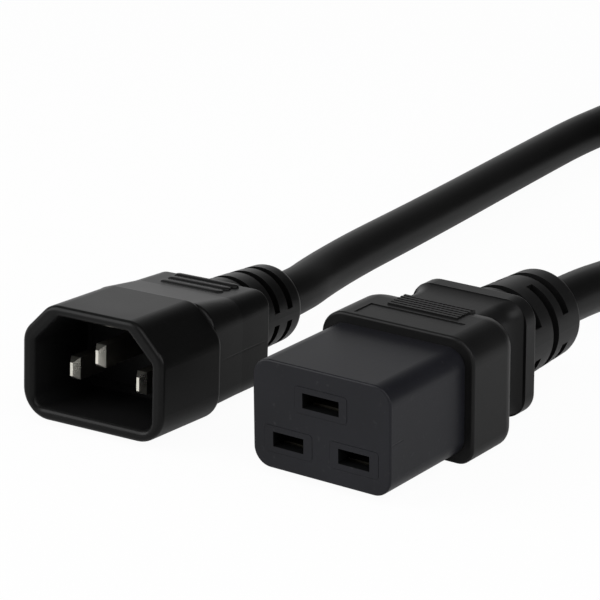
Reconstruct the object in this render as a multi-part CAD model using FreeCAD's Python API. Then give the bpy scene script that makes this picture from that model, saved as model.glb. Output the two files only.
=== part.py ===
"""C19 power connector on its cord, with the C14 plug at the cord's far end.

Millimetres, +Z up.  The connector lies along Y: its mating face looks to -Y and its
cord leaves to +Y.  The origin is at the middle of the connector's own box, on the
surface that it rests on.  The plug, the coil and the cord lie on the same surface.
"""
import FreeCAD, Part
import math
import os

from FreeCAD import Placement, Rotation, Vector

os.makedirs("parts", exist_ok=True)

# ---------------------------------------------------------------- cable and contacts
CABLE_DIA = 9.0            # jacket of a three-core 2.08 mm2 flexible cord
CORE_DIA = 2.8             # one insulated core
STRAND_DIA = 1.6           # its bundle of copper strands
CORE_PITCH_R = 1.75        # cores lie in a trefoil this far from the cable's axis
CORE_GRIP = 3.0            # how far a core runs into the jacket
FLOOR_GAP = 0.1            # the cable lies this far above the surface
SEAT_GAP = 0.1             # clearance round a piece that is moulded in

SHEET = 0.5                # brass strip of a female contact
CONTACT_NECK_W = 2.6       # strip between a contact's leaves and its crimp
CONTACT_NECK_LEN = 2.2
CRIMP_LEN = 4.6
CRIMP_WALL = 0.45
CRIMP_SLIT = 0.6

# ---------------------------------------------------------------- C19 connector
NOSE_W, NOSE_H = 27.2, 18.9
NOSE_LEN = 21.6            # from the mating face to the collar
NOSE_R = 3.3
NOSE_LIFT = 1.45           # underside of the nose above the surface
NOSE_EDGE = 0.35
PIN_SPACING = 13.0         # between line and neutral
EARTH_RISE = 8.0           # earth above the line and neutral
PIN_ROW_Z = 6.7            # line and neutral above the surface
LIVE_SLOT_W, EARTH_SLOT_W = 6.1, 7.2
SLOT_H = 2.6
FACE_WALL = 2.2            # insert's wall in front of a contact

TOWER_LIVE_W, TOWER_EARTH_W = 9.4, 10.2
TOWER_H = 4.5
TOWER_PROUD = 0.15         # a tower stands this far out of the face
CHAMBER_MARGIN = 0.7       # chamber beyond the slot, each side
CHAMBER_H = 3.6
PLATE_W, PLATE_H, PLATE_T = 21.0, 14.4, 2.1
PLATE_R = 1.5
CORE_BLOCK_LEN = 10.4      # nose moulding inside the grip
CORE_BLOCK_W, CORE_BLOCK_H = 22.0, 15.4
CORE_BLOCK_R = 2.0

COLLAR_W, COLLAR_TOP = 30.6, 22.2
COLLAR_LEN = 14.4
COLLAR_R_TOP, COLLAR_R_BOTTOM = 4.6, 3.2
COLLAR_EDGE = 0.5
COLLAR_ROUND_LEN = 4.2     # length of the rounding at the collar's rear
COLLAR_ROUND_SIDE = 4.6
COLLAR_ROUND_TOP = 2.2
COLLAR_ROUND_BOTTOM = 2.6

NECK_W, NECK_TOP, NECK_BOTTOM = 19.6, 21.3, 1.8
NECK_R = 3.0
FLANGE_W, FLANGE_TOP, FLANGE_BOTTOM = 23.4, 21.75, 0.35
FLANGE_T = 3.4
FLANGE_R = 4.2
FLANGE_EDGE = 0.7
FLARE_LEN = 4.4            # concave run from the neck up to the flange
FLARE_RISE = 0.7           # share of the step that the flare climbs; the rest is a shoulder
FLARE_SECTIONS = 5
FLANGE_Y = 43.8            # flange's front, from the mating face

PAD_W = 14.0               # ribbed thumb pad on top of the collar
PAD_FRONT = 29.3
PAD_LEN = 5.6
PAD_RIBS = 6
RIB_PITCH = 0.95
RIB_W = 0.55
RIB_H = 0.2
PAD_PROUD = 0.06           # floor of the ribs above the collar
PANEL_W, PANEL_LEN, PANEL_DEPTH = 19.0, 5.2, 0.15
PANEL_Y = 22.9

RELIEF_END = 68.5          # end of the strain relief, from the mating face
RELIEF_R0, RELIEF_R1 = 9.3, 8.3
RELIEF_EDGE = 1.3
RELIEF_RINGS = (49.2, 53.4, 58.9, 63.1)
RING_SLOT_W = 2.0
RING_SLOT_FLOOR = 5.9      # radius of the material left under a slot
RING_BRIDGE = 38.0         # degrees of bridge between two half-ring slots

# ---------------------------------------------------------------- C14 plug
SHROUD_W = 29.5
SHROUD_TOP, SHROUD_BOTTOM = 12.0, -8.8     # from the row of line and neutral pins
SHROUD_LEN = 18.0
SHROUD_CHAMFER = 5.6
SHROUD_R = 5.3
SHROUD_CHAMFER_R = 4.2
RIM_ROUND = 0.88
CAVITY_W = 24.6
CAVITY_TOP, CAVITY_BOTTOM = 10.15, -6.65
CAVITY_CHAMFER = 5.0
CAVITY_R = 2.0
CAVITY_CHAMFER_R = 1.2
CAVITY_DEPTH = 15.6
PLUG_SECTIONS = (          # distance from the rim, width, top, radius of the top corners
    (17.0, 26.8, 11.6, 5.0),
    (27.0, 25.6, 10.55, 3.8),
    (36.0, 25.0, 10.3, 3.2),
)
PLUG_BODY_BOTTOM = -7.45
PLUG_BODY_R = 3.2          # of its bottom corners
PLUG_SHOULDER = 0.7        # rounding of the body's front, proud of the shroud's chamfers
PLUG_STEP_ROUND = 1.2
PLUG_BODY_EDGE = 0.4
PLUG_AXIS_Z = 1.9          # cable's axis above the pin row
PLUG_RELIEF_R0, PLUG_RELIEF_R1 = 8.1, 7.4
PLUG_RELIEF_END = 55.5
PLUG_RELIEF_EDGE = 1.5
PLUG_RINGS = (40.9, 46.3, 50.8)
PLUG_RING_SLOT_W = 1.75
PLUG_RING_FLOOR = 5.4
PLUG_RING_BRIDGE = 17.0
BAR_COUNT = 4
BAR_PITCH = 2.0
BAR_FIRST = 28.9
BAR_LEN, BAR_W, BAR_H = 13.2, 0.8, 0.35

PIN_W, PIN_H = 2.0, 4.0
PIN_TIP_CHAMFER = 0.5
PLUG_PIN_SPACING = 14.0
PLUG_EARTH_RISE = 4.0
LIVE_PIN_TIP = 4.3         # tip of a line or neutral pin behind the rim
EARTH_PIN_TIP = 2.1
INSERT_W, INSERT_H, INSERT_T = 22.4, 13.6, 4.2
INSERT_R = 1.0
PIN_TAIL_H = 1.1
PIN_TAIL_END = 22.4

# Where the plug lies: middle of its rim at the pin row, and its turn about +Z
PLUG_X, PLUG_Y = -45.3, -37.85
PLUG_YAW = 3.58

# ---------------------------------------------------------------- cord on the surface
COIL_X, COIL_Y = -7.1, 210.0
COIL_MEAN_R = 50.0         # middle of the coil's turns
COIL_BOTTOM_TURNS = 3
COIL_SKIN = 0.15           # the coil's solid beyond its outer turns
COIL_IN_STUB = 38.0        # straight lead out of the bottom turn
COIL_OUT_STUB = 62.0       # straight lead off the top turn
COIL_OUT_ANGLE = -25.0     # where the top turn leaves, about the coil's middle
COIL_OUT_RUN = 24.5        # last straight run of the connector's lead, in line with it
COIL_OUT_GAP = 0.2         # that lead passes over the outer bottom turn with this gap

# ---------------------------------------------------------------- derived places
TOTAL_LEN = RELIEF_END
FACE_Y = -TOTAL_LEN / 2.0
AXIS_Z = NOSE_LIFT + NOSE_H / 2.0          # cable's axis in the middle of the nose
CABLE_R = CABLE_DIA / 2.0
CABLE_Z = CABLE_R + FLOOR_GAP
JACKET_START = 45.0                        # jacket's cut end inside the grip
PLUG_JACKET_START = 40.0
PLUG_BODY_END = PLUG_SECTIONS[-1][0]


def from_face(distance):
    """Y of a plane that lies this far behind the connector's mating face."""
    return FACE_Y + distance


# ---------------------------------------------------------------- geometry helpers
def corner(previous, point, following, radius):
    """Start, middle and end of the arc that rounds one corner of an outline."""
    back = (previous - point).normalize()
    ahead = (following - point).normalize()
    half = math.acos(max(-1.0, min(1.0, back.dot(ahead)))) / 2.0
    reach = radius / math.tan(half)
    middle = (back + ahead).normalize()
    return (
        point + back * reach,
        point + middle * (radius / math.sin(half) - radius),
        point + ahead * reach,
    )


def outline(corners, y):
    """Closed wire in the plane of y from (x, z, radius) corners in order."""
    points = [Vector(x, y, z) for x, z, _ in corners]
    count = len(points)
    arcs = []
    for i, (_, _, radius) in enumerate(corners):
        arcs.append(corner(points[i - 1], points[i], points[(i + 1) % count], radius))
    edges = []
    for i, (start, middle, end) in enumerate(arcs):
        edges.append(Part.Arc(start, middle, end).toShape())
        edges.append(Part.LineSegment(end, arcs[(i + 1) % count][0]).toShape())
    return Part.Wire(edges)


def box_corners(width, bottom, top, r_bottom, r_top, x=0.0):
    """Corners of an upright rectangle, with its own radius at the bottom and the top."""
    half = width / 2.0
    return [
        (x - half, bottom, r_bottom),
        (x + half, bottom, r_bottom),
        (x + half, top, r_top),
        (x - half, top, r_top),
    ]


def chamfered_corners(width, bottom, top, chamfer, r_bottom, r_chamfer):
    """Corners of a C14 outline: both top corners are cut at 45 degrees."""
    half = width / 2.0
    return [
        (-half, bottom, r_bottom),
        (half, bottom, r_bottom),
        (half, top - chamfer, r_chamfer),
        (half - chamfer, top, r_chamfer),
        (-half + chamfer, top, r_chamfer),
        (-half, top - chamfer, r_chamfer),
    ]


def prism(corners, start, end):
    """Solid of one outline between two planes of y."""
    return Part.Face(outline(corners, start)).extrude(Vector(0, end - start, 0))


def box(x0, x1, y0, y1, z0, z1):
    return Part.makeBox(x1 - x0, y1 - y0, z1 - z0, Vector(x0, y0, z0))


def rod(radius, y0, y1, x=0.0, z=0.0):
    return Part.makeCylinder(radius, y1 - y0, Vector(x, y0, z), Vector(0, 1, 0))


def edges_at(shape, y):
    """Edges that lie whole in the plane of y."""
    found = []
    for edge in shape.Edges:
        low, high = edge.BoundBox.YMin, edge.BoundBox.YMax
        if abs(low - y) < 1e-4 and abs(high - y) < 1e-4:
            found.append(edge)
    return found


def one_solid(shape):
    """The shape's only solid, or the shape itself if it has several."""
    shape = shape.removeSplitter()
    return shape.Solids[0] if len(shape.Solids) == 1 else shape


def rounded_path(points):
    """Straight runs joined by tangent arcs, and the arcs' radii."""
    points = [Vector(*p) for p in points]
    edges, radii = [], []
    at = points[0]
    for before, point, after in zip(points, points[1:], points[2:]):
        back = before - point
        ahead = after - point
        run = min(back.Length, ahead.Length)
        turn = math.pi - back.getAngle(ahead)
        radius = 0.45 * run / math.tan(turn / 2.0)
        start, middle, end = corner(before, point, after, radius)
        edges.append(Part.LineSegment(at, start).toShape())
        edges.append(Part.Arc(start, middle, end).toShape())
        radii.append(radius)
        at = end
    edges.append(Part.LineSegment(at, points[-1]).toShape())
    return Part.Wire(edges), radii


def tube(points, radius):
    """Round solid along a rounded path, its path's length and its arcs' radii."""
    path, radii = rounded_path(points)
    heading = Vector(*points[1]) - Vector(*points[0])
    ring = Part.Wire(Part.makeCircle(radius, Vector(*points[0]), heading))
    solid = path.makePipeShell([ring], True, False)
    return solid, path.Length, radii


# ---------------------------------------------------------------- female contacts
def leaf_profile(y0, length, gap, mouth):
    """Side view of one hairpin contact: two leaves from a rear bend to a flared mouth."""
    pinch = y0 + 0.28 * length
    upper = [
        (y0, mouth / 2.0),
        (pinch, gap / 2.0),
        (y0 + 0.72 * length, mouth / 2.0),
        (y0 + length, mouth / 2.0),
    ]
    inner = upper + [(y, -z) for y, z in reversed(upper)]
    outer = [(y, -z - SHEET) for y, z in upper]
    outer.append((y0 + length + SHEET, -mouth / 2.0 - SHEET))
    outer.append((y0 + length + SHEET, mouth / 2.0 + SHEET))
    outer += [(y, z + SHEET) for y, z in reversed(upper)]
    return inner + outer


def female_contact(x, z, width, y0, length):
    """Folded brass contact with its neck and crimp barrel, its blade slot along X."""
    profile = leaf_profile(y0, length, SLOT_H - 1.2, SLOT_H - 0.5)
    points = [Vector(x - width / 2.0, y, z + dz) for y, dz in profile]
    leaves = Part.Face(Part.makePolygon(points + points[:1])).extrude(Vector(width, 0, 0))
    rear = y0 + length + SHEET
    neck_end = rear + CONTACT_NECK_LEN
    bore = STRAND_DIA / 2.0 + SEAT_GAP / 2.0
    half = CONTACT_NECK_W / 2.0
    neck = box(x - half, x + half, rear - SHEET, neck_end + 0.6, z - bore - CRIMP_WALL, z - bore)
    barrel = rod(bore + CRIMP_WALL, neck_end, neck_end + CRIMP_LEN, x, z)
    barrel = barrel.cut(rod(bore, neck_end - 1.0, neck_end + CRIMP_LEN + 1.0, x, z))
    slit = CRIMP_SLIT / 2.0
    top = z + bore + CRIMP_WALL + 1.0
    barrel = barrel.cut(box(x - slit, x + slit, neck_end - 1.0, neck_end + CRIMP_LEN + 1.0, z, top))
    return one_solid(leaves.fuse([neck, barrel])), neck_end, neck_end + CRIMP_LEN


CONTACTS = {
    "line": (PIN_SPACING / 2.0, PIN_ROW_Z, LIVE_SLOT_W, TOWER_LIVE_W),
    "neutral": (-PIN_SPACING / 2.0, PIN_ROW_Z, LIVE_SLOT_W, TOWER_LIVE_W),
    "earth": (0.0, PIN_ROW_Z + EARTH_RISE, EARTH_SLOT_W, TOWER_EARTH_W),
}
CONTACT_START = FACE_WALL + 0.4
CONTACT_LEN = 14.5
PLATE_Y = CONTACT_START + CONTACT_LEN + SHEET + SEAT_GAP   # front of the insert's plate


def tower(x, z, width, front, back, grow=0.0):
    """One of the insert's three towers, or the pocket that takes it when it is grown."""
    half = TOWER_H / 2.0 + grow
    corners = box_corners(width + 2.0 * grow, z - half, z + half, 0.6 + grow, 0.6 + grow, x)
    return prism(corners, from_face(front), from_face(back))


def neck_passage(x, z):
    """Passage behind a contact for its neck, up to its crimp barrel."""
    half_w = CONTACT_NECK_W / 2.0 + SEAT_GAP
    half_h = STRAND_DIA / 2.0 + CRIMP_WALL + 2.0 * SEAT_GAP
    end = PLATE_Y + CONTACT_NECK_LEN + 1.0
    return box(x - half_w, x + half_w, from_face(PLATE_Y - 1.0), from_face(end), z - half_h, z + half_h)


def insert_plate(grow=0.0):
    """Plate that ties the three towers together behind the contacts."""
    middle = PIN_ROW_Z + EARTH_RISE / 2.0
    half = PLATE_H / 2.0 + grow
    corners = box_corners(PLATE_W + 2 * grow, middle - half, middle + half, PLATE_R, PLATE_R)
    return prism(corners, from_face(PLATE_Y - grow), from_face(PLATE_Y + PLATE_T + grow))


def contact_insert():
    """Insert that insulates the contacts: three slotted towers on one plate."""
    shape = insert_plate()
    for x, z, _, width in CONTACTS.values():
        shape = shape.fuse(tower(x, z, width, -TOWER_PROUD, PLATE_Y))
    for x, z, slot, _ in CONTACTS.values():
        half = slot / 2.0
        slot_front, slot_back = from_face(-TOWER_PROUD - 1.0), from_face(CONTACT_START)
        shape = shape.cut(
            box(x - half, x + half, slot_front, slot_back, z - SLOT_H / 2.0, z + SLOT_H / 2.0)
        )
        half += CHAMBER_MARGIN
        shape = shape.cut(
            box(
                x - half,
                x + half,
                from_face(FACE_WALL),
                from_face(PLATE_Y),
                z - CHAMBER_H / 2.0,
                z + CHAMBER_H / 2.0,
            )
        )
        shape = shape.cut(neck_passage(x, z))
    return one_solid(shape)


def nose_corners(grow=0.0):
    bottom, top = NOSE_LIFT - grow, NOSE_LIFT + NOSE_H + grow
    return box_corners(NOSE_W + 2 * grow, bottom, top, NOSE_R + grow, NOSE_R + grow)


def core_block(grow=0.0):
    """Stretch of the nose moulding that the grip is moulded round."""
    half = CORE_BLOCK_H / 2.0 + grow
    width = CORE_BLOCK_W + 2.0 * grow
    corners = box_corners(width, AXIS_Z - half, AXIS_Z + half, CORE_BLOCK_R, CORE_BLOCK_R)
    return prism(corners, from_face(NOSE_LEN), from_face(NOSE_LEN + CORE_BLOCK_LEN + grow))


def nose_moulding(cores):
    """Rigid moulding round the insert: the nose that enters an inlet, and its root."""
    front = from_face(0)
    nose = prism(nose_corners(), front, from_face(NOSE_LEN))
    nose = nose.makeFillet(NOSE_EDGE, edges_at(nose, front))
    shape = nose.fuse(core_block())
    for x, z, _, width in CONTACTS.values():
        shape = shape.cut(tower(x, z, width, -1.0, PLATE_Y + 0.5, SEAT_GAP))
    shape = shape.cut(insert_plate(SEAT_GAP))
    for x, z, _, _ in CONTACTS.values():
        shape = shape.cut(neck_passage(x, z))
    for core in cores:
        shape = shape.cut(core)
    return one_solid(shape)


# ---------------------------------------------------------------- C19 grip
def collar():
    """Finger collar: a straight stretch, then a rear that rounds in on every side."""
    straight_end = NOSE_LEN + COLLAR_LEN - COLLAR_ROUND_LEN
    corners = box_corners(COLLAR_W, 0.0, COLLAR_TOP, COLLAR_R_BOTTOM, COLLAR_R_TOP)
    front = prism(corners, from_face(NOSE_LEN), from_face(straight_end))
    front = front.makeFillet(COLLAR_EDGE, edges_at(front, from_face(NOSE_LEN)))
    sections = []
    for share in (0.0, 0.25, 0.5, 0.72, 0.88, 0.97):
        drop = 1.0 - math.sqrt(1.0 - share * share)
        r_top = COLLAR_R_TOP + 0.4 * drop
        r_bottom = COLLAR_R_BOTTOM + 0.8 * drop
        corners = box_corners(
            COLLAR_W - 2.0 * COLLAR_ROUND_SIDE * drop,
            COLLAR_ROUND_BOTTOM * drop,
            COLLAR_TOP - COLLAR_ROUND_TOP * drop,
            r_bottom,
            r_top,
        )
        sections.append(outline(corners, from_face(straight_end + share * COLLAR_ROUND_LEN)))
    return front.fuse(Part.makeLoft(sections, True, False))


def neck_and_flange():
    """Neck behind the collar that flares into the rear flange."""
    flare_start = FLANGE_Y - FLARE_LEN
    corners = box_corners(NECK_W, NECK_BOTTOM, NECK_TOP, NECK_R, NECK_R)
    neck = prism(corners, from_face(NOSE_LEN + COLLAR_LEN / 2.0), from_face(flare_start))
    sections = []
    for i in range(FLARE_SECTIONS):
        share = i / (FLARE_SECTIONS - 1.0)
        swell = FLARE_RISE * share**2.5
        corners = box_corners(
            NECK_W + (FLANGE_W - NECK_W) * swell,
            NECK_BOTTOM + (FLANGE_BOTTOM - NECK_BOTTOM) * swell,
            NECK_TOP + (FLANGE_TOP - NECK_TOP) * swell,
            NECK_R,
            NECK_R,
        )
        sections.append(outline(corners, from_face(flare_start + share * FLARE_LEN)))
    flare = Part.makeLoft(sections, True, False)
    corners = box_corners(FLANGE_W, FLANGE_BOTTOM, FLANGE_TOP, FLANGE_R, FLANGE_R)
    rear = from_face(FLANGE_Y + FLANGE_T)
    flange = prism(corners, from_face(FLANGE_Y), rear)
    flange = flange.makeFillet(FLANGE_EDGE, edges_at(flange, rear))
    return neck.fuse([flare, flange])


def ring_slot(y, width, floor, outer, middle_angle, bridge, z):
    """Cutter for one half-ring slot of a strain relief, round the axis at z."""
    span = 180.0 - bridge
    start = middle_angle - span / 2.0
    sector = Part.makeCylinder(outer, width, Vector(0, 0, 0), Vector(0, 0, 1), span)
    sector = sector.cut(Part.makeCylinder(floor, 3.0 * width, Vector(0, 0, -width)))
    sector.rotate(Vector(0, 0, 0), Vector(0, 0, 1), start)
    # lay the cutter's axis along Y, with its angles running from +X towards +Z
    sector.rotate(Vector(0, 0, 0), Vector(1, 0, 0), 90.0)
    sector.translate(Vector(0, y + width / 2.0, z))
    return sector


def relief(start, end, r0, r1, edge, z):
    """Tapered strain relief, rounded at its end, as a revolve about the cable's axis."""
    round_start = end - edge
    r_round = r0 + (r1 - r0) * (round_start - start) / (end - start)
    diagonal = edge * (1.0 - math.sqrt(0.5))
    lower = [Vector(0, start, z), Vector(r0, start, z), Vector(r_round, round_start, z)]
    tip = Vector(r_round - edge, end, z)
    edges = [Part.LineSegment(a, b).toShape() for a, b in zip(lower, lower[1:])]
    bend = Vector(r_round - diagonal, end - diagonal, z)
    edges.append(Part.Arc(lower[-1], bend, tip).toShape())
    edges.append(Part.LineSegment(tip, Vector(0, end, z)).toShape())
    edges.append(Part.LineSegment(Vector(0, end, z), lower[0]).toShape())
    return Part.Face(Part.Wire(edges)).revolve(Vector(0, start, z), Vector(0, 1, 0), 360.0)


def thumb_pad():
    """Raised pad of fine transverse ribs on top of the collar."""
    base = PAD_FRONT
    half = PAD_W / 2.0
    low = NECK_TOP - 1.5
    level = COLLAR_TOP + PAD_PROUD
    pad = box(-half, half, from_face(base), from_face(base + PAD_LEN), low, level)
    for i in range(PAD_RIBS):
        y = base + i * RIB_PITCH
        rib = box(-half, half, from_face(y), from_face(y + RIB_W), level - 0.5, level + RIB_H)
        pad = pad.fuse(rib)
    return pad


def grip(cores, jacket):
    """Soft grip moulded over the nose's root, with its strain relief in one piece."""
    relief_start = FLANGE_Y + 0.5
    shape = collar().fuse(neck_and_flange())
    shape = shape.fuse(
        relief(from_face(relief_start), from_face(RELIEF_END), RELIEF_R0, RELIEF_R1, RELIEF_EDGE, AXIS_Z)
    )
    shape = shape.fuse(thumb_pad())
    half = PANEL_W / 2.0
    shape = shape.cut(
        box(
            -half,
            half,
            from_face(PANEL_Y),
            from_face(PANEL_Y + PANEL_LEN),
            COLLAR_TOP - PANEL_DEPTH,
            COLLAR_TOP + 1.0,
        )
    )
    for i, y in enumerate(RELIEF_RINGS):
        for side in (0.0, 180.0):
            middle = side if i % 2 == 0 else side + 90.0
            cutter = ring_slot(
                from_face(y), RING_SLOT_W, RING_SLOT_FLOOR, 2 * RELIEF_R0, middle, RING_BRIDGE, AXIS_Z
            )
            shape = shape.cut(cutter)
    shape = shape.cut(core_block(SEAT_GAP))
    for core in cores:
        shape = shape.cut(core)
    shape = shape.cut(jacket)
    return one_solid(shape)


# ---------------------------------------------------------------- cores and jackets
def trefoil(side, axis_z):
    """Place of one core in the cable: earth on top, the others below on their own side."""
    if side == 0:
        return 0.0, axis_z + CORE_PITCH_R
    across = math.copysign(CORE_PITCH_R * math.cos(math.radians(30.0)), side)
    return across, axis_z - CORE_PITCH_R / 2.0


def core_route(x, z, crimp_end, jacket_start, axis_z):
    """Route of one core from its crimp to where it enters the jacket."""
    x1, z1 = trefoil(x, axis_z)
    start = crimp_end + 0.3
    end = jacket_start + CORE_GRIP
    span = jacket_start - start
    return [
        (x, start, z),
        (x, start + 0.25 * span, z),
        (x1, jacket_start - 0.3 * span, z1),
        (x1, end, z1),
    ]


def core_and_strands(route, crimp_start):
    """Insulation with its copper, and the space that both need in a moulding."""
    skin = tube(route, CORE_DIA / 2.0)[0]
    bore = tube(route, STRAND_DIA / 2.0 + SEAT_GAP / 2.0)[0]
    space = tube(route, CORE_DIA / 2.0 + SEAT_GAP)[0]
    copper = tube(route, STRAND_DIA / 2.0)[0]
    x, y, z = route[0]
    bare = rod(STRAND_DIA / 2.0, crimp_start + 0.2, y + 0.5, x, z)
    copper = one_solid(copper.fuse(bare))
    room = STRAND_DIA / 2.0 + CRIMP_WALL + 2.0 * SEAT_GAP
    space = space.fuse(rod(room, crimp_start - 1.0, y + 0.5, x, z))
    return one_solid(skin.cut(bore)), copper, space


def jacket_end(start, end, axis_z):
    """Cable's own end inside a strain relief, with its three cores let in."""
    shape = rod(CABLE_R, start, end, 0.0, axis_z)
    for side in (-1, 0, 1):
        x, z = trefoil(side, axis_z)
        shape = shape.cut(rod(CORE_DIA / 2.0 + SEAT_GAP / 2, start - 1.0, start + CORE_GRIP, x, z))
    return one_solid(shape)


# ---------------------------------------------------------------- C14 plug
PLUG_PINS = {
    "line": (-PLUG_PIN_SPACING / 2.0, 0.0, LIVE_PIN_TIP),
    "neutral": (PLUG_PIN_SPACING / 2.0, 0.0, LIVE_PIN_TIP),
    "earth": (0.0, PLUG_EARTH_RISE, EARTH_PIN_TIP),
}


def blade(x, z, tip):
    """Flat pin with a chamfered tip, a narrow tail and its crimp barrel."""
    base = CAVITY_DEPTH + INSERT_T - 0.6
    half_w, half_h = PIN_W / 2.0, PIN_H / 2.0
    pin = box(x - half_w, x + half_w, tip, base, z - half_h, z + half_h)
    pin = pin.makeChamfer(PIN_TIP_CHAMFER, edges_at(pin, tip))
    bore = STRAND_DIA / 2.0 + SEAT_GAP / 2.0
    tail = box(x - 0.5, x + 0.5, base - 0.5, PIN_TAIL_END + 0.6, z - bore - PIN_TAIL_H, z - bore)
    barrel = rod(bore + CRIMP_WALL, PIN_TAIL_END, PIN_TAIL_END + CRIMP_LEN, x, z)
    barrel = barrel.cut(rod(bore, PIN_TAIL_END - 1.0, PIN_TAIL_END + CRIMP_LEN + 1.0, x, z))
    slit = CRIMP_SLIT / 2.0
    start, end = PIN_TAIL_END - 1.0, PIN_TAIL_END + CRIMP_LEN + 1.0
    barrel = barrel.cut(box(x - slit, x + slit, start, end, z, z + bore + CRIMP_WALL + 1.0))
    return one_solid(pin.fuse([tail, barrel]))


def insert_corners(grow=0.0):
    middle = (CAVITY_TOP + CAVITY_BOTTOM) / 2.0
    half = INSERT_H / 2.0 + grow
    return box_corners(INSERT_W + 2 * grow, middle - half, middle + half, INSERT_R, INSERT_R)


def pin_insert():
    """Insulating block at the bottom of the cavity that holds the three pins."""
    shape = prism(insert_corners(), CAVITY_DEPTH, CAVITY_DEPTH + INSERT_T)
    gap = SEAT_GAP / 2.0
    for x, z, _ in PLUG_PINS.values():
        half_w, half_h = PIN_W / 2.0 + gap, PIN_H / 2.0 + gap
        through = CAVITY_DEPTH + INSERT_T + 1.0
        shape = shape.cut(box(x - half_w, x + half_w, CAVITY_DEPTH - 1, through, z - half_h, z + half_h))
    return one_solid(shape)


def plug_top(y):
    """Top of the plug's body at one distance from its rim."""
    for (y0, _, top0, _), (y1, _, top1, _) in zip(PLUG_SECTIONS, PLUG_SECTIONS[1:]):
        if y <= y1:
            return top0 + (top1 - top0) * (y - y0) / (y1 - y0)
    return PLUG_SECTIONS[-1][2]


def tapered_body():
    """Plug's body behind its shroud: it tapers to the cord and is rounded at both ends."""
    wires = []
    for y, width, top, radius in PLUG_SECTIONS:
        wires.append(outline(box_corners(width, PLUG_BODY_BOTTOM, top, PLUG_BODY_R, radius), y))
    body = Part.makeLoft(wires, True, True)
    body = body.makeFillet(PLUG_SHOULDER, edges_at(body, PLUG_SECTIONS[0][0]))
    return body.makeFillet(PLUG_BODY_EDGE, edges_at(body, PLUG_BODY_END))


def grip_bars():
    """Raised bars across the sloping top of the plug's body."""
    bars = []
    half = BAR_LEN / 2.0
    for i in range(BAR_COUNT):
        y = BAR_FIRST + i * BAR_PITCH
        top = plug_top(y + BAR_W / 2.0)
        bars.append(box(-half, half, y, y + BAR_W, top - 0.5, top + BAR_H))
    return bars


def plug_body(cores, jacket):
    """Plug's shroud, body and strain relief, moulded as one piece."""
    shroud_out = chamfered_corners(
        SHROUD_W, SHROUD_BOTTOM, SHROUD_TOP, SHROUD_CHAMFER, SHROUD_R, SHROUD_CHAMFER_R
    )
    cavity_out = chamfered_corners(
        CAVITY_W, CAVITY_BOTTOM, CAVITY_TOP, CAVITY_CHAMFER, CAVITY_R, CAVITY_CHAMFER_R
    )
    shroud = prism(shroud_out, 0.0, SHROUD_LEN)
    shroud = shroud.makeFillet(PLUG_STEP_ROUND, edges_at(shroud, SHROUD_LEN))
    shape = shroud.fuse(tapered_body())
    shape = shape.cut(prism(cavity_out, -1.0, CAVITY_DEPTH))
    shape = shape.removeSplitter()
    shape = shape.makeFillet(RIM_ROUND, edges_at(shape, 0.0))
    shape = shape.fuse(
        relief(
            PLUG_BODY_END - 0.5,
            PLUG_RELIEF_END,
            PLUG_RELIEF_R0,
            PLUG_RELIEF_R1,
            PLUG_RELIEF_EDGE,
            PLUG_AXIS_Z,
        )
    )
    shape = shape.fuse(grip_bars())
    for y in PLUG_RINGS:
        for middle in (90.0, 270.0):
            cutter = ring_slot(
                y,
                PLUG_RING_SLOT_W,
                PLUG_RING_FLOOR,
                2.0 * PLUG_RELIEF_R0,
                middle,
                PLUG_RING_BRIDGE,
                PLUG_AXIS_Z,
            )
            shape = shape.cut(cutter)
    shape = shape.cut(
        prism(insert_corners(SEAT_GAP), CAVITY_DEPTH - 0.5, CAVITY_DEPTH + INSERT_T + SEAT_GAP)
    )
    for x, z, _ in PLUG_PINS.values():
        drop = STRAND_DIA / 2.0 + PIN_TAIL_H + 2.0 * SEAT_GAP
        rise = STRAND_DIA / 2.0 + CRIMP_WALL + 2.0 * SEAT_GAP
        end = PIN_TAIL_END + CRIMP_LEN + 0.3
        shape = shape.cut(box(x - rise, x + rise, CAVITY_DEPTH + 1.0, end, z - drop, z + rise))
    for core in cores:
        shape = shape.cut(core)
    shape = shape.cut(jacket)
    return one_solid(shape)


def plug_tilt():
    """Nose-up tilt in degrees: the plug rests on its shroud's and its body's rear edges."""
    rise = PLUG_BODY_BOTTOM - SHROUD_BOTTOM
    run = (PLUG_BODY_END - PLUG_BODY_EDGE) - (SHROUD_LEN - PLUG_STEP_ROUND)
    return math.degrees(math.atan2(rise, run))


def plug_placement():
    """Placement that lays the plug on the surface, nose up."""
    tilt = -plug_tilt()
    turn = Rotation(Vector(0, 0, 1), PLUG_YAW).multiply(Rotation(Vector(1, 0, 0), tilt))
    foot = Vector(0, SHROUD_LEN - PLUG_STEP_ROUND, SHROUD_BOTTOM)
    lift = -turn.multVec(foot).z
    return Placement(Vector(PLUG_X, PLUG_Y, lift), turn)


# ---------------------------------------------------------------- coil and cord
def coil_levels():
    """Heights of the coil's two layers: the top turns lie in the grooves of the bottom."""
    return CABLE_Z, CABLE_Z + CABLE_DIA * math.sqrt(3.0) / 2.0


def coil_section():
    """Outline of the bundle: bottom turns on the surface, top turns in their grooves."""
    low, high = coil_levels()
    top_turns = COIL_BOTTOM_TURNS - 1
    skin = CABLE_R + COIL_SKIN
    wide = (COIL_BOTTOM_TURNS - 1) * CABLE_DIA / 2.0 + skin
    narrow = (top_turns - 1) * CABLE_DIA / 2.0 + skin
    shoulder = 0.6 * skin
    return [
        (COIL_MEAN_R - wide, 0.0, 2.0),
        (COIL_MEAN_R + wide, 0.0, 2.0),
        (COIL_MEAN_R + wide, low + shoulder, 2.5),
        (COIL_MEAN_R + narrow, high + skin, 2.5),
        (COIL_MEAN_R - narrow, high + skin, 2.5),
        (COIL_MEAN_R - wide, low + shoulder, 2.5),
    ]


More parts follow.
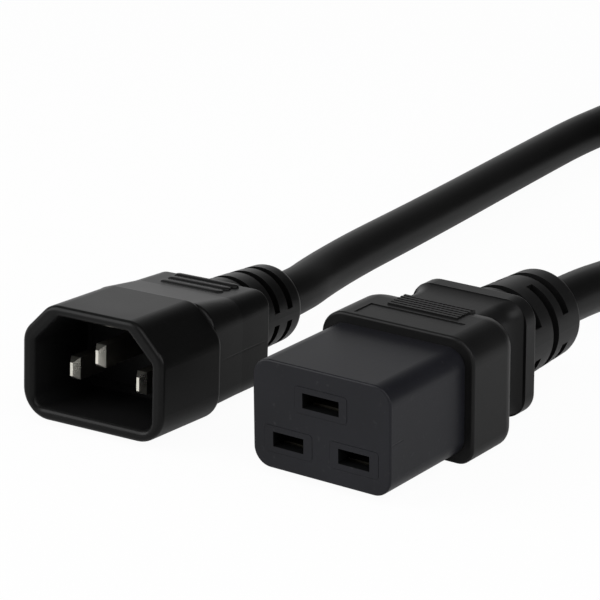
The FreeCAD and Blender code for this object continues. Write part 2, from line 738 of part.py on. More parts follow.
def coil_in_points():
    """Start and end of the lead that runs into the coil's outer bottom turn."""
    radius = COIL_MEAN_R + CABLE_DIA
    x = COIL_X - radius
    return (x, COIL_Y - COIL_IN_STUB, CABLE_Z), (x, COIL_Y, CABLE_Z)


def coil_out_points():
    """Start and end of the lead that leaves the coil's outer top turn."""
    radius = COIL_MEAN_R + CABLE_DIA / 2.0
    high = CABLE_Z + CABLE_DIA + COIL_OUT_GAP
    angle = math.radians(COIL_OUT_ANGLE)
    x = COIL_X + radius * math.cos(angle)
    y = COIL_Y + radius * math.sin(angle)
    ahead_x, ahead_y = math.sin(angle), -math.cos(angle)
    far = COIL_OUT_STUB
    return (x, y, high), (x + far * ahead_x, y + far * ahead_y, high)


def coil():
    """Closed solid of the coil's outer shape, with its two leads."""
    ring = Part.Face(outline(coil_section(), 0.0)).revolve(
        Vector(0, 0, 0), Vector(0, 0, 1), 360.0
    )
    ring.translate(Vector(COIL_X, COIL_Y, 0.0))
    shape = ring
    for start, end in (coil_in_points(), coil_out_points()):
        a, b = Vector(*start), Vector(*end)
        lead = Part.makeCylinder(CABLE_R, (b - a).Length, a, b - a)
        shape = shape.fuse(lead)
    return one_solid(shape)


def plug_cable_exit(placement):
    """Middle of the plug's cable exit, and a point straight behind it."""
    end = placement.multVec(Vector(0, PLUG_RELIEF_END, PLUG_AXIS_Z))
    straight = placement.multVec(Vector(0, PLUG_RELIEF_END + CABLE_DIA, PLUG_AXIS_Z))
    return end, straight


def coil_exit():
    """Far end of the lead off the coil's top turn, and a point straight beyond it."""
    start, end = (Vector(*p) for p in coil_out_points())
    ahead = (end - start).normalize()
    return end, end + ahead * COIL_OUT_RUN


# Points of each lead where it lies, chosen by hand, between the exit and the coil
PLUG_LEAD_POINTS = [
    (-52.1, 38.0, 6.9),
    (-54.4, 53.0, 6.6),
    (-57.0, 74.0, 5.9),
    (-59.9, 97.0, 5.2),
    (-62.7, 121.0, 4.8),
    (-65.0, 144.0, 4.6),
    (-66.1, 158.0, 4.6),
]
CONNECTOR_LEAD_POINTS = [
    (0.0, 46.0, 10.9),
    (0.0, 60.0, 9.9),
    (0.0, 83.5, 7.2),
]


def write(name, shape):
    """Write one node's STEP file."""
    shape.exportStep(os.path.join("parts", name + ".step"))


def build_connector():
    """Nodes of the C19 connector."""
    nodes, spaces = {}, []
    for name, (x, z, slot, _) in CONTACTS.items():
        y0 = from_face(CONTACT_START)
        contact, crimp_start, crimp_end = female_contact(x, z, slot - 0.6, y0, CONTACT_LEN)
        nodes[f"c19_{name}_contact"] = contact
        route = core_route(x, z, crimp_end, from_face(JACKET_START), AXIS_Z)
        core, copper, space = core_and_strands(route, crimp_start)
        nodes[f"c19_{name}_core"] = core
        nodes[f"c19_{name}_strands"] = copper
        spaces.append(space)
    nodes["c19_jacket_end"] = jacket_end(from_face(JACKET_START), from_face(RELIEF_END), AXIS_Z)
    nodes["c19_contact_insert"] = contact_insert()
    nodes["c19_nose"] = nose_moulding(spaces)
    bore = rod(CABLE_R + SEAT_GAP, from_face(JACKET_START), from_face(RELIEF_END + 1), 0, AXIS_Z)
    nodes["c19_grip"] = grip(spaces, bore)
    return nodes


def build_plug():
    """Nodes of the C14 plug, in its own frame: rim at y = 0, pin row at z = 0."""
    nodes, spaces = {}, []
    for name, (x, z, tip) in PLUG_PINS.items():
        nodes[f"c14_{name}_pin"] = blade(x, z, tip)
        crimp_end = PIN_TAIL_END + CRIMP_LEN
        route = core_route(x, z, crimp_end, PLUG_JACKET_START, PLUG_AXIS_Z)
        core, copper, space = core_and_strands(route, PIN_TAIL_END)
        nodes[f"c14_{name}_core"] = core
        nodes[f"c14_{name}_strands"] = copper
        spaces.append(space)
    nodes["c14_jacket_end"] = jacket_end(PLUG_JACKET_START, PLUG_RELIEF_END, PLUG_AXIS_Z)
    nodes["c14_pin_insert"] = pin_insert()
    bore = rod(CABLE_R + SEAT_GAP, PLUG_JACKET_START, PLUG_RELIEF_END + 1, 0, PLUG_AXIS_Z)
    nodes["c14_body"] = plug_body(spaces, bore)
    return nodes


def lead(name, points):
    """Tube of one lead; its volume is set against its section times its length."""
    solid, length, radii = tube(points, CABLE_R)
    share = solid.Volume / (math.pi * CABLE_R**2 * length)
    shown = ", ".join(f"{r:.0f}" for r in radii)
    print(f"{name}: length {length:.1f}, volume share {share:.4f}, radii {shown}")
    return solid


def build_cord(placement):
    """Nodes of the cord: two leads and the coil between them."""
    nodes = {}
    plug_exit, straight = plug_cable_exit(placement)
    plug_points = [tuple(plug_exit), tuple(straight), *PLUG_LEAD_POINTS, coil_in_points()[0]]
    nodes["cable_plug_lead"] = lead("cable_plug_lead", plug_points)
    start = (0.0, from_face(RELIEF_END), AXIS_Z)
    coil_end, beyond = coil_exit()
    connector_points = [start, *CONNECTOR_LEAD_POINTS, tuple(beyond), tuple(coil_end)]
    nodes["cable_connector_lead"] = lead("cable_connector_lead", connector_points)
    nodes["cable_coil"] = coil()
    return nodes


def main():
    nodes = build_connector()
    placement = plug_placement()
    for name, shape in build_plug().items():
        shape.Placement = placement.multiply(shape.Placement)
        nodes[name] = shape
    nodes.update(build_cord(placement))
    for name, shape in nodes.items():
        print(f"{name}: {len(shape.Solids)} solid, valid {shape.isValid()}, {shape.Volume:.1f} mm3")
        write(name, shape)


main()
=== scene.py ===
"""Looks of the C19 power connector, its cord and the C14 plug at the cord's far end."""

import math

import bmesh
import bpy
from mathutils import Matrix, Vector


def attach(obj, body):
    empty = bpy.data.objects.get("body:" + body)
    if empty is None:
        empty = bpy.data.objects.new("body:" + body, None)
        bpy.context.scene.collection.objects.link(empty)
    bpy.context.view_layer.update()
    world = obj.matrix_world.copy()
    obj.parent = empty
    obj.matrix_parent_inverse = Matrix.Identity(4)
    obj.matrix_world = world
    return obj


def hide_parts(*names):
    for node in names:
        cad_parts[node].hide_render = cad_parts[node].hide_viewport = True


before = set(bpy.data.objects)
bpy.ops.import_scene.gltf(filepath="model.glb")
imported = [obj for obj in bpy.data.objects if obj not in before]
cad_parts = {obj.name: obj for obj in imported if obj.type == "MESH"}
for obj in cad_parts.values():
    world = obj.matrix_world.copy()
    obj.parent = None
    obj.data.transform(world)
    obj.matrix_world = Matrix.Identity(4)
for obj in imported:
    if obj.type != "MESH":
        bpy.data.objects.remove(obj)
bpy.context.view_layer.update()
scene = bpy.context.scene

MM = 0.001
CABLE_DIA = 9.0
PLUG_AT = (-45.3, -37.85, 9.9808)  # middle of the plug's rim
PLUG_YAW, PLUG_TILT = 3.58, 4.107


def plug_pose():
    """The plug's own axes in millimetres, about the middle of its rim."""
    turn = Matrix.Rotation(math.radians(PLUG_YAW), 4, "Z")
    tilt = Matrix.Rotation(-math.radians(PLUG_TILT), 4, "X")
    return Matrix.Translation(PLUG_AT) @ turn @ tilt


# ---------------------------------------------------------------- materials
def band(nodes, links, value, low, high, start, end):
    """Strength that runs from start to end while a value runs from low to high."""
    part = nodes.new("ShaderNodeMapRange")
    for socket, number in zip(part.inputs[1:5], (low, high, start, end)):
        socket.default_value = number
    links.new(value, part.inputs["Value"])
    return part.outputs["Result"]


def maths(nodes, links, operation, one, two):
    """Result of a math node that takes two node outputs."""
    part = nodes.new("ShaderNodeMath")
    part.operation = operation
    links.new(one, part.inputs[0])
    links.new(two, part.inputs[1])
    return part.outputs[0]


def groove(nodes, links, place, mark):
    """Depth of a fine line, where a place is close to every one of a mark's planes.

    A plane is its axis, its distance along that axis, the line's half width and its depth factor.
    """
    mask = None
    for axis, at, half, depth in mark:
        along = nodes.new("ShaderNodeVectorMath")
        along.operation = "DOT_PRODUCT"
        along.inputs[1].default_value = axis
        links.new(place, along.inputs[0])
        off = nodes.new("ShaderNodeMath")
        off.operation = "SUBTRACT"
        off.inputs[1].default_value = at * MM
        links.new(along.outputs["Value"], off.inputs[0])
        away = nodes.new("ShaderNodeMath")
        away.operation = "ABSOLUTE"
        links.new(off.outputs[0], away.inputs[0])
        part = band(nodes, links, away.outputs[0], 0.5 * half * MM, half * MM, depth, 0.0)
        mask = part if mask is None else maths(nodes, links, "MULTIPLY", mask, part)
    return mask


MOTTLE, MOTTLE_SCALE = 0.18, 55.0
GRAIN_SCALE, GRAIN_DEPTH = 1680.0, 0.02
DUST_SCALE, DUST_RANGE, DUST_COLOUR = 900.0, (0.66, 0.80), (0.03, 0.03, 0.032, 1.0)
FACTOR, COLOUR_A, COLOUR_B, COLOUR_OUT = 0, 6, 7, 2  # sockets of a mix node set to colours


def plastic(name, colour, rough, specular=0.5, scuffs=0.12, marks=()):
    """Moulded plastic: slow mottle, fine grain, specks of dust, uneven gloss and fine marks."""
    mat = bpy.data.materials.new(name)
    mat.use_nodes = True
    nodes, links = mat.node_tree.nodes, mat.node_tree.links
    shader = nodes["Principled BSDF"]
    shader.inputs["Specular IOR Level"].default_value = specular
    place = nodes.new("ShaderNodeTexCoord")
    slow = nodes.new("ShaderNodeTexNoise")
    slow.inputs["Scale"].default_value = MOTTLE_SCALE
    slow.inputs["Detail"].default_value = 6.0
    links.new(place.outputs["Object"], slow.inputs["Vector"])
    ramp = nodes.new("ShaderNodeValToRGB")
    low = [c * (1.0 - MOTTLE) for c in colour]
    high = [c * (1.0 + MOTTLE) for c in colour]
    ramp.color_ramp.elements[0].position = 0.3
    ramp.color_ramp.elements[0].color = (*low, 1.0)
    ramp.color_ramp.elements[1].position = 0.7
    ramp.color_ramp.elements[1].color = (*high, 1.0)
    links.new(slow.outputs["Fac"], ramp.inputs["Fac"])
    dust = nodes.new("ShaderNodeTexNoise")
    dust.inputs["Scale"].default_value = DUST_SCALE
    dust.inputs["Detail"].default_value = 2.0
    links.new(place.outputs["Object"], dust.inputs["Vector"])
    specks = band(nodes, links, dust.outputs["Fac"], *DUST_RANGE, 0.0, scuffs)
    worn = nodes.new("ShaderNodeMix")
    worn.data_type = "RGBA"
    worn.inputs[COLOUR_B].default_value = DUST_COLOUR
    links.new(specks, worn.inputs[FACTOR])
    links.new(ramp.outputs["Color"], worn.inputs[COLOUR_A])
    links.new(worn.outputs[COLOUR_OUT], shader.inputs["Base Color"])
    gloss = nodes.new("ShaderNodeMapRange")
    gloss.inputs["To Min"].default_value = rough - 0.05
    gloss.inputs["To Max"].default_value = rough + 0.07
    links.new(slow.outputs["Fac"], gloss.inputs["Value"])
    links.new(gloss.outputs["Result"], shader.inputs["Roughness"])
    fine = nodes.new("ShaderNodeTexNoise")
    fine.inputs["Scale"].default_value = GRAIN_SCALE
    fine.inputs["Detail"].default_value = 3.0
    links.new(place.outputs["Object"], fine.inputs["Vector"])
    bump = nodes.new("ShaderNodeBump")
    bump.inputs["Strength"].default_value = 0.35
    bump.inputs["Distance"].default_value = GRAIN_DEPTH * MM
    height = fine.outputs["Fac"]
    for mark in marks:
        depth = groove(nodes, links, place.outputs["Object"], mark)
        height = maths(nodes, links, "SUBTRACT", height, depth)
    links.new(height, bump.inputs["Height"])
    links.new(bump.outputs["Normal"], shader.inputs["Normal"])
    return mat


def metal(name, colour, rough, drawn=(6000.0, 300.0, 6000.0), depth=0.01):
    """Plated metal with fine drawing lines and a little uneven tint."""
    mat = bpy.data.materials.new(name)
    mat.use_nodes = True
    nodes, links = mat.node_tree.nodes, mat.node_tree.links
    shader = nodes["Principled BSDF"]
    shader.inputs["Metallic"].default_value = 1.0
    place = nodes.new("ShaderNodeTexCoord")
    noise = nodes.new("ShaderNodeTexNoise")
    noise.inputs["Scale"].default_value = 300.0
    noise.inputs["Detail"].default_value = 4.0
    links.new(place.outputs["Object"], noise.inputs["Vector"])
    ramp = nodes.new("ShaderNodeValToRGB")
    ramp.color_ramp.elements[0].color = (*[c * 0.82 for c in colour], 1.0)
    ramp.color_ramp.elements[1].color = (*colour, 1.0)
    links.new(noise.outputs["Fac"], ramp.inputs["Fac"])
    links.new(ramp.outputs["Color"], shader.inputs["Base Color"])
    gloss = nodes.new("ShaderNodeMapRange")
    gloss.inputs["To Min"].default_value = rough - 0.06
    gloss.inputs["To Max"].default_value = rough + 0.08
    links.new(noise.outputs["Fac"], gloss.inputs["Value"])
    links.new(gloss.outputs["Result"], shader.inputs["Roughness"])
    stretch = nodes.new("ShaderNodeMapping")
    stretch.inputs["Scale"].default_value = drawn
    links.new(place.outputs["Object"], stretch.inputs["Vector"])
    lines = nodes.new("ShaderNodeTexNoise")
    lines.inputs["Scale"].default_value = 1.0
    links.new(stretch.outputs["Vector"], lines.inputs["Vector"])
    bump = nodes.new("ShaderNodeBump")
    bump.inputs["Strength"].default_value = 0.2
    bump.inputs["Distance"].default_value = depth * MM
    links.new(lines.outputs["Fac"], bump.inputs["Height"])
    links.new(bump.outputs["Normal"], shader.inputs["Normal"])
    return mat


def plug_plane(column, at, half, depth):
    """Plane of the plug's own axes, as a mark takes it."""
    axis = plug_pose().to_3x3().col[column]
    return tuple(axis), axis.dot(Vector(PLUG_AT)) + at, half, depth


NOSE_TICK = (
    ((0, 0, 1), 10.6, 0.16, 9.0),
    ((0, 1, 0), -32.2, 1.7, 1.0),
    ((1, 0, 0), 13.6, 0.4, 1.0),
)
PLUG_SEAM = (plug_plane(2, 1.4, 0.2, 7.0), plug_plane(1, 27.8, 8.0, 1.0))

FACE_GREY = (0.0081, 0.0083, 0.0107)
UPRIGHT_LINES = (7000.0, 7000.0, 400.0)
GRIP = plastic("grip_black", (0.0061, 0.0061, 0.0062), 0.37, specular=0.14)
NOSE = plastic("nose_grey", FACE_GREY, 0.36, specular=0.17, scuffs=0.5, marks=[NOSE_TICK])
INSERT = plastic("insert_grey", FACE_GREY, 0.36, specular=0.17, scuffs=0.5)
# Painted shade: the slots' walls get a darker, duller copy of the insert's grey, for the shade deep
# in the slots
SLOT_WALL_PAINTED_SHADE = plastic("slot_wall_painted_shade", (0.0040, 0.0042, 0.0044), 0.5, specular=0.05)
CAVITY = plastic("cavity_black", (0.0058, 0.0058, 0.0060), 0.5, specular=0.10)
PLUG = plastic("plug_black", (0.0026, 0.0026, 0.0026), 0.32, specular=0.14, marks=[PLUG_SEAM])
JACKET = plastic("jacket_black", (0.0040, 0.0040, 0.0040), 0.38, specular=0.12)
PLATED = metal("plated_brass", (0.80, 0.78, 0.70), 0.28, UPRIGHT_LINES, 0.015)
# Painted shade: the pins' shanks get a darker, duller copy of the plating, for the shade inside the
# plug's cavity
SHANK_PAINTED_SHADE = metal("plated_brass_painted_shade", (0.26, 0.25, 0.22), 0.35, UPRIGHT_LINES, 0.015)
# Painted shade: the contacts' brass is darkened nearly to black, for the shade in the slots where
# they sit
CONTACT_PAINTED_SHADE = metal("contact_brass_painted_shade", (0.045, 0.042, 0.034), 0.5)
COPPER = metal("copper_strand", (0.80, 0.42, 0.25), 0.35)
CORE_MATERIALS = {
    "line": plastic("core_brown", (0.10, 0.04, 0.02), 0.4),
    "neutral": plastic("core_blue", (0.03, 0.10, 0.40), 0.4),
    "earth": plastic("core_green_yellow", (0.22, 0.40, 0.05), 0.4),
}


def dress(node, material):
    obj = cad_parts[node]
    for slot in obj.material_slots:
        slot.material = material


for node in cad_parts:
    if node.endswith("_core"):
        dress(node, CORE_MATERIALS[node.split("_")[1]])
    elif node.endswith("_strands"):
        dress(node, COPPER)
    # The contacts get brass darkened by painted shade
    elif node.endswith("_contact"):
        dress(node, CONTACT_PAINTED_SHADE)
    elif node.endswith("_pin"):
        dress(node, PLATED)
dress("c19_grip", GRIP)
dress("c19_nose", NOSE)
dress("c19_contact_insert", INSERT)
dress("c19_jacket_end", JACKET)
dress("c14_body", PLUG)
dress("c14_pin_insert", CAVITY)
dress("c14_jacket_end", JACKET)

# ---------------------------------------------------------------- plug's finer shapes
# Places are in millimetres, in the plug's own axes, except for the towers', which are the frame's
NEAR = 0.05
PLUG_TOPS = ((17.0, 11.6), (27.0, 10.55), (36.0, 10.3))  # behind the rim, above its middle
PINS = {"line": (-7.0, 0.0, 4.3), "neutral": (7.0, 0.0, 4.3), "earth": (0.0, 4.0, 2.1)}
PIN_CHAMFER = 0.5
TIP_FLAT = (0.27, 1.2)  # half width and half height of a pin's narrow end
TIP_OUT, TIP_BACK = 0.46, 0.30
# Painted shade on a pin starts this far behind its tip
SHANK_FROM = 1.0  # behind a pin's tip
TOWERS = ((-6.5, 6.7), (6.5, 6.7), (0.0, 14.7))
TOWER_FRONT, TOWER_GROW = -34.29, 0.05
TOWER_EDGE = (3.9, 1.5)  # a tower's outside is past this, across and up from its middle
TOWER_ZONE = -34.0
SLOT_HALF = (3.65, 1.35)
CAVITY_DEPTH = (0.4, 15.8)
CAVITY_HALF, CAVITY_LOW, CAVITY_TOP, CAVITY_MIDDLE = 12.4, -6.8, 10.3, 1.75
MOULDED_BARS = (28.5, 36.1)
BARS = ((29.65, 0.36, 6.6), (32.0, 0.50, 6.6), (34.3, 0.62, 6.8))  # place, rise, half length
BAR_HALF, BAR_SINK = 1.05, 0.06


def plug_top(y):
    """Top of the plug's body at a distance behind its rim."""
    for (y0, z0), (y1, z1) in zip(PLUG_TOPS, PLUG_TOPS[1:]):
        if y <= y1:
            return z0 + (z1 - z0) * (y - y0) / (y1 - y0)
    return PLUG_TOPS[-1][1]


def reshaped(node, name, material, reshape, pose):
    """Copy of a node's mesh with its points moved in a pose's own axes."""
    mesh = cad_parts[node].data.copy()
    back = pose.inverted()
    for vertex in mesh.vertices:
        place = back @ (vertex.co / MM)
        moved = reshape(place)
        if moved is not place:
            vertex.co = (pose @ moved) * MM
    mesh.materials.clear()
    mesh.materials.append(material)
    obj = bpy.data.objects.new(name, mesh)
    scene.collection.objects.link(obj)
    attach(obj, "root")
    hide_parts(node)
    return obj


def long_tip(x, z, tip):
    """Reshape of a pin: its tip tapers over a longer run to a narrow flat."""

    def reshape(place):
        if abs(place.y - tip) < NEAR:
            across = math.copysign(TIP_FLAT[0], place.x - x)
            along = math.copysign(TIP_FLAT[1], place.z - z)
            return Vector((x + across, tip - TIP_OUT, z + along))
        if abs(place.y - tip - PIN_CHAMFER) < NEAR:
            return Vector((place.x, place.y + TIP_BACK, place.z))
        return place

    return reshape


def bars_off(place):
    """Reshape of the body: the plain bars of its top go down flush."""
    top = plug_top(place.y)
    start, end = MOULDED_BARS
    if start < place.y < end and place.z > top + 0.02:
        return Vector((place.x, place.y, top))
    return place


def bar_section(middle, height, half, x):
    """One cross-section of a rounded bar, which narrows at its two round ends."""
    past = max(0.0, abs(x) - (half - BAR_HALF)) / BAR_HALF
    share = math.sqrt(max(0.0, 1.0 - past * past))
    points = []
    for i in range(13):
        turn = math.pi * i / 12
        y = middle - BAR_HALF * share * math.cos(turn)
        rise = height * math.sqrt(share) * math.sin(turn) ** 0.8
        points.append(Vector((x, y, plug_top(y) - BAR_SINK + rise)))
    return points


def grip_bars():
    """Three rounded bars across the sloping top of the plug's body."""
    build = bmesh.new()
    pose = plug_pose()
    for middle, height, half in BARS:
        ends = [half - BAR_HALF * (1.0 - math.sin(math.pi * i / 16)) for i in range(9)]
        stations = [-x for x in reversed(ends)] + ends
        rows = []
        for x in stations:
            section = bar_section(middle, height, half, x)
            rows.append([build.verts.new((pose @ p) * MM) for p in section])
        for one, two in zip(rows, rows[1:]):
            for a, b, c, d in zip(one, one[1:], two[1:], two):
                build.faces.new((a, b, c, d))
    bmesh.ops.recalc_face_normals(build, faces=build.faces)
    for face in build.faces:
        face.smooth = True
    mesh = bpy.data.meshes.new("c14_bars")
    build.to_mesh(mesh)
    build.free()
    mesh.materials.append(PLUG)
    obj = bpy.data.objects.new("c14_bars", mesh)
    scene.collection.objects.link(obj)
    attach(obj, "root")
    return obj


def repaint(obj, material, chosen, pose):
    """Second material on the faces chosen by their middle and normal in a pose's own axes."""
    obj.data.materials.append(material)
    back = pose.inverted()
    turn = back.to_3x3()
    for face in obj.data.polygons:
        picked = chosen(back @ (face.center / MM), turn @ face.normal)
        face.material_index = 1 if picked else 0


def in_cavity(place, normal):
    """Whether a face is on the walls of the plug's cavity, which face its middle."""
    inward = place.x * normal.x + (place.z - CAVITY_MIDDLE) * normal.z < 0.0
    near = abs(place.x) < CAVITY_HALF and CAVITY_LOW < place.z < CAVITY_TOP
    start, end = CAVITY_DEPTH
    return start < place.y < end and near and (inward or abs(normal.y) > 0.9)


def in_slot(place, normal):
    """Whether a face is on the walls of one of the insert's slots, where the painted shade goes."""
    wide, high = SLOT_HALF
    inside = any(abs(place.x - x) < wide and abs(place.z - z) < high for x, z in TOWERS)
    return inside and place.y > TOWER_FRONT + NEAR


def flush_tower(place):
    """Reshape of the insert: its towers' fronts go nearly flush, with finer gaps round them."""
    if place.y > TOWER_ZONE:
        return place
    x, z = min(TOWERS, key=lambda t: abs(place.x - t[0]) + 2.0 * abs(place.z - t[1]))
    across, rise = place.x - x, place.z - z
    moved = Vector((place.x, max(place.y, TOWER_FRONT), place.z))
    if abs(across) > TOWER_EDGE[0]:
        moved.x += math.copysign(TOWER_GROW, across)
    if abs(rise) > TOWER_EDGE[1]:
        moved.z += math.copysign(TOWER_GROW, rise)
    return moved


def insert_looks():
    """The insert with finer gaps, and painted shade that darkens its slots' walls."""
    obj = reshaped("c19_contact_insert", "c19_insert_looks", INSERT, flush_tower, Matrix())
    repaint(obj, SLOT_WALL_PAINTED_SHADE, in_slot, Matrix())
    return obj


insert_looks()
AT_PLUG = plug_pose()
plug_pieces = [reshaped("c14_body", "c14_body_looks", PLUG, bars_off, AT_PLUG), grip_bars()]
repaint(plug_pieces[0], CAVITY, in_cavity, AT_PLUG)
for pin, place in PINS.items():
    piece = reshaped(f"c14_{pin}_pin", f"c14_{pin}_pin_looks", PLATED, long_tip(*place), AT_PLUG)
    # Painted shade: each pin's shank behind its tip takes the darker copy of the plating
    repaint(piece, SHANK_PAINTED_SHADE, lambda middle, normal, tip=place[2]: middle.y > tip + SHANK_FROM, AT_PLUG)
    plug_pieces.append(piece)

# ---------------------------------------------------------------- cord
EXIT = (0.0, 34.25, 10.9)
CONNECTOR_LEAD = [
    (0.0, 46.0, 10.9),
    (0.0, 60.0, 9.5),
    (0.0, 83.5, 7.2),
]
PLUG_LEAD = [
    (-66.1, 158.0, 4.6),
    (-65.0, 144.0, 4.6),
    (-62.7, 121.0, 4.8),
    (-59.9, 97.0, 5.2),
    (-57.0, 74.0, 5.9),
    (-54.5, 53.0, 6.6),
    (-52.2, 38.0, 6.9),
    (-49.326, 26.495, 7.256),
    (-48.765, 17.535, 7.901),
]
COIL_CENTRE = (-7.1, 210.0)
COIL_MEAN = 50.0
PER_TURN = 16
LOW_Z, HIGH_Z, OVER_Z = 4.6, 12.4, 13.8
START_ANGLE, SWAP_ANGLE, END_ANGLE = -25.0, 200.0, 180.0


def turn_radius(index):
    """Radius and height of one turn: two on top, then three on the floor."""
    radius = COIL_MEAN + CABLE_DIA * (0.5, -0.5, -1.0, 0.0, 1.0)[index]
    return radius, HIGH_Z if index < 2 else LOW_Z


def coil_place(angle):
    """Radius and height of the winding at an angle counted from its start."""
    swap = SWAP_ANGLE - START_ANGLE
    index = 0
    while index < 4 and angle > swap + 360.0 * index:
        index += 1
    radius, height = turn_radius(index)
    if index:
        before, level = turn_radius(index - 1)
        past = (angle - swap - 360.0 * (index - 1)) / 50.0
        share = min(1.0, max(0.0, past))
        share = share * share * (3.0 - 2.0 * share)
        radius = before + (radius - before) * share
        height = level + (height - level) * share
    lift = max(0.0, 1.0 - angle / 60.0)
    return radius, height + (OVER_Z - HIGH_Z) * lift


def coil_points():
    total = 360.0 * 4.0 + END_ANGLE - START_ANGLE
    steps = round(total / 360.0 * PER_TURN)
    trim = math.cos(math.pi / PER_TURN)
    points = []
    for i in range(steps + 1):
        angle = total * i / steps
        radius, height = coil_place(angle)
        turn = math.radians(START_ANGLE + angle)
        reach = radius / trim
        points.append(
            (
                COIL_CENTRE[0] + reach * math.cos(turn),
                COIL_CENTRE[1] + reach * math.sin(turn),
                height,
            )
        )
    return points


def coil_out_lead():
    """Points of the straight lead off the top turn."""
    turn = math.radians(START_ANGLE)
    radius = COIL_MEAN + CABLE_DIA / 2.0
    x = COIL_CENTRE[0] + radius * math.cos(turn)
    y = COIL_CENTRE[1] + radius * math.sin(turn)
    ahead = (math.sin(turn), -math.cos(turn))
    return [(x + s * ahead[0], y + s * ahead[1], OVER_Z) for s in (86.5, 62.0, 30.0)]


def cord_curve():
    points = [EXIT, *CONNECTOR_LEAD, *coil_out_lead(), *coil_points()]
    points += [(-66.1, 192.0, LOW_Z), (-66.1, 172.0, LOW_Z), *PLUG_LEAD]
    data = bpy.data.curves.new("cord", "CURVE")
    data.dimensions = "3D"
    spline = data.splines.new("NURBS")
    spline.points.add(len(points) - 1)
    for point, place in zip(spline.points, points):
        point.co = (place[0] * MM, place[1] * MM, place[2] * MM, 1.0)
    spline.order_u = 3
    spline.use_endpoint_u = True
    spline.resolution_u = 8
    data.bevel_depth = CABLE_DIA / 2.0 * MM
    data.bevel_resolution = 7
    obj = bpy.data.objects.new("cord", data)
    scene.collection.objects.link(obj)
    data.materials.append(JACKET)
    return obj


cord = cord_curve()
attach(cord, "root")
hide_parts("cable_connector_lead", "cable_coil", "cable_plug_lead")


# ---------------------------------------------------------------- floor and light
CAMERA_WHITE, GLOSS_WHITE = 0.96, 0.2  # white's share of the floor to each kind of ray


def floor_material():
    """Pale floor: whitened to the camera and a little to gloss, with the object's shadow kept."""
    mat = bpy.data.materials.new("pale_floor")
    mat.use_nodes = True
    nodes, links = mat.node_tree.nodes, mat.node_tree.links
    shader = nodes["Principled BSDF"]
    shader.inputs["Base Color"].default_value = (0.8, 0.8, 0.8, 1.0)
    shader.inputs["Roughness"].default_value = 0.9
    glow = nodes.new("ShaderNodeEmission")
    glow.inputs["Color"].default_value = (1.0, 1.0, 1.0, 1.0)
    glow.inputs["Strength"].default_value = 1.0
    path = nodes.new("ShaderNodeLightPath").outputs
    passing = maths(nodes, links, "MAXIMUM", path["Is Glossy Ray"], path["Is Transmission Ray"])
    gloss = band(nodes, links, passing, 0.0, 1.0, 0.0, GLOSS_WHITE)
    seen = band(nodes, links, path["Is Camera Ray"], 0.0, 1.0, 0.0, CAMERA_WHITE)
    share = maths(nodes, links, "ADD", seen, gloss)
    mix = nodes.new("ShaderNodeMixShader")
    links.new(share, mix.inputs["Fac"])
    links.new(shader.outputs["BSDF"], mix.inputs[1])
    links.new(glow.outputs["Emission"], mix.inputs[2])
    links.new(mix.outputs["Shader"], nodes["Material Output"].inputs["Surface"])
    return mat


bpy.ops.mesh.primitive_plane_add(size=6.0, location=(0, 0.2, 0))
floor = bpy.context.object
floor.name = "floor"
floor.data.materials.append(floor_material())

# Bands run over an axis of the view direction: its low, its high, strength at low, at high
DOME = 0.26
LOW_BAND = (0.14, 0.50, 0.88, 0.25)
SIDE_BAND = (-0.42, 0.08, 1.0, 0.10)
BACK_BAND = (-0.1, 0.3, 0.0, 1.0)
FRONT_BAND = (-0.50, -0.10, 0.6, 0.0)
HIGH_BAND = (0.80, 0.95, 0.0, 0.25)


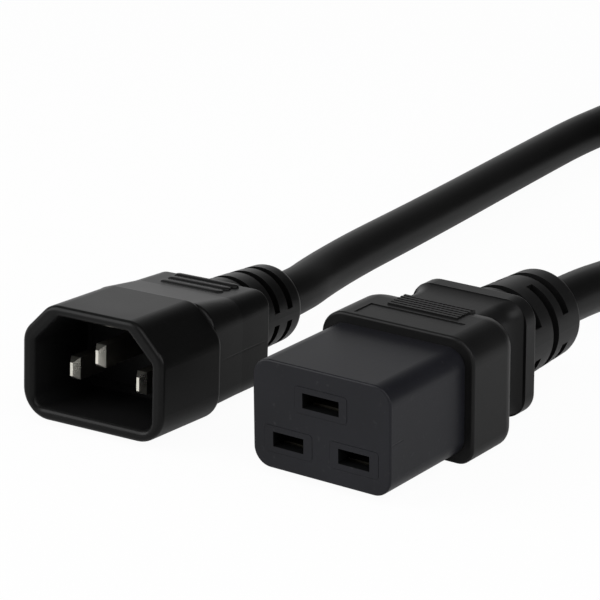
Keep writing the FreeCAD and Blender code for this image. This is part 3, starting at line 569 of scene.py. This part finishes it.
def studio_world():
    """Even dome that the camera sees white; gloss sees a backdrop that fades upward."""
    world = bpy.data.worlds.new("studio")
    world.use_nodes = True
    nodes, links = world.node_tree.nodes, world.node_tree.links
    place = nodes.new("ShaderNodeTexCoord")
    split = nodes.new("ShaderNodeSeparateXYZ")
    links.new(place.outputs["Generated"], split.inputs["Vector"])
    across, along, up = split.outputs
    low = band(nodes, links, up, *LOW_BAND)
    back = maths(
        nodes, links, "MULTIPLY",
        band(nodes, links, across, *SIDE_BAND), band(nodes, links, along, *BACK_BAND),
    )
    ring = maths(nodes, links, "ADD", back, band(nodes, links, along, *FRONT_BAND))
    backdrop = maths(nodes, links, "MULTIPLY", low, ring)
    backdrop = maths(nodes, links, "ADD", backdrop, band(nodes, links, up, *HIGH_BAND))
    path = nodes.new("ShaderNodeLightPath").outputs
    gloss = maths(nodes, links, "MULTIPLY", path["Is Glossy Ray"], backdrop)
    dome = band(nodes, links, path["Is Glossy Ray"], 0.0, 1.0, DOME, 0.0)
    light = maths(nodes, links, "ADD", gloss, dome)
    clear = maths(nodes, links, "MAXIMUM", path["Is Camera Ray"], path["Is Transmission Ray"])
    shader = nodes["Background"]
    shader.inputs["Color"].default_value = (1.0, 1.0, 1.0, 1.0)
    links.new(maths(nodes, links, "MAXIMUM", clear, light), shader.inputs["Strength"])
    return world


scene.world = studio_world()


def softbox(name, place, target, size, watts):
    data = bpy.data.lights.new(name, "AREA")
    data.shape = "RECTANGLE"
    data.size, data.size_y = size
    data.energy = watts
    obj = bpy.data.objects.new(name, data)
    scene.collection.objects.link(obj)
    place, target = Vector(place), Vector(target)
    obj.matrix_world = (target - place).to_track_quat("-Z", "Y").to_matrix().to_4x4()
    obj.matrix_world.translation = place
    return obj


softbox("key", (0.5, -0.5, 0.9), (0, 0, 0), (0.8, 0.8), 5.2)
softbox("left", (-0.7, -0.6, 0.5), (0, 0, 0), (0.8, 0.8), 8.2)
softbox("right", (0.9, 0.1, 0.5), (0, 0, 0), (0.6, 0.6), 4.2)

# ---------------------------------------------------------------- camera
AZIMUTH, ELEVATION, ROLL = (math.radians(v) for v in (36.236, 19.016, 0.496))
back_axis = Vector(
    (
        math.sin(AZIMUTH) * math.cos(ELEVATION),
        -math.cos(AZIMUTH) * math.cos(ELEVATION),
        math.sin(ELEVATION),
    )
)
level = Vector((math.cos(AZIMUTH), math.sin(AZIMUTH), 0.0))
upward = back_axis.cross(level)
right = level * math.cos(ROLL) - upward * math.sin(ROLL)
up = level * math.sin(ROLL) + upward * math.cos(ROLL)
data = bpy.data.cameras.new("camera")
data.lens = 162.836
data.sensor_width = 36.0
data.clip_start = 0.01
camera = bpy.data.objects.new("camera", data)
scene.collection.objects.link(camera)
camera.matrix_world = Matrix.Translation((0.23751, -0.36365, 0.17253)) @ Matrix(
    (right, up, back_axis)
).transposed().to_4x4()
scene.camera = camera

scene.view_settings.view_transform = "Standard"
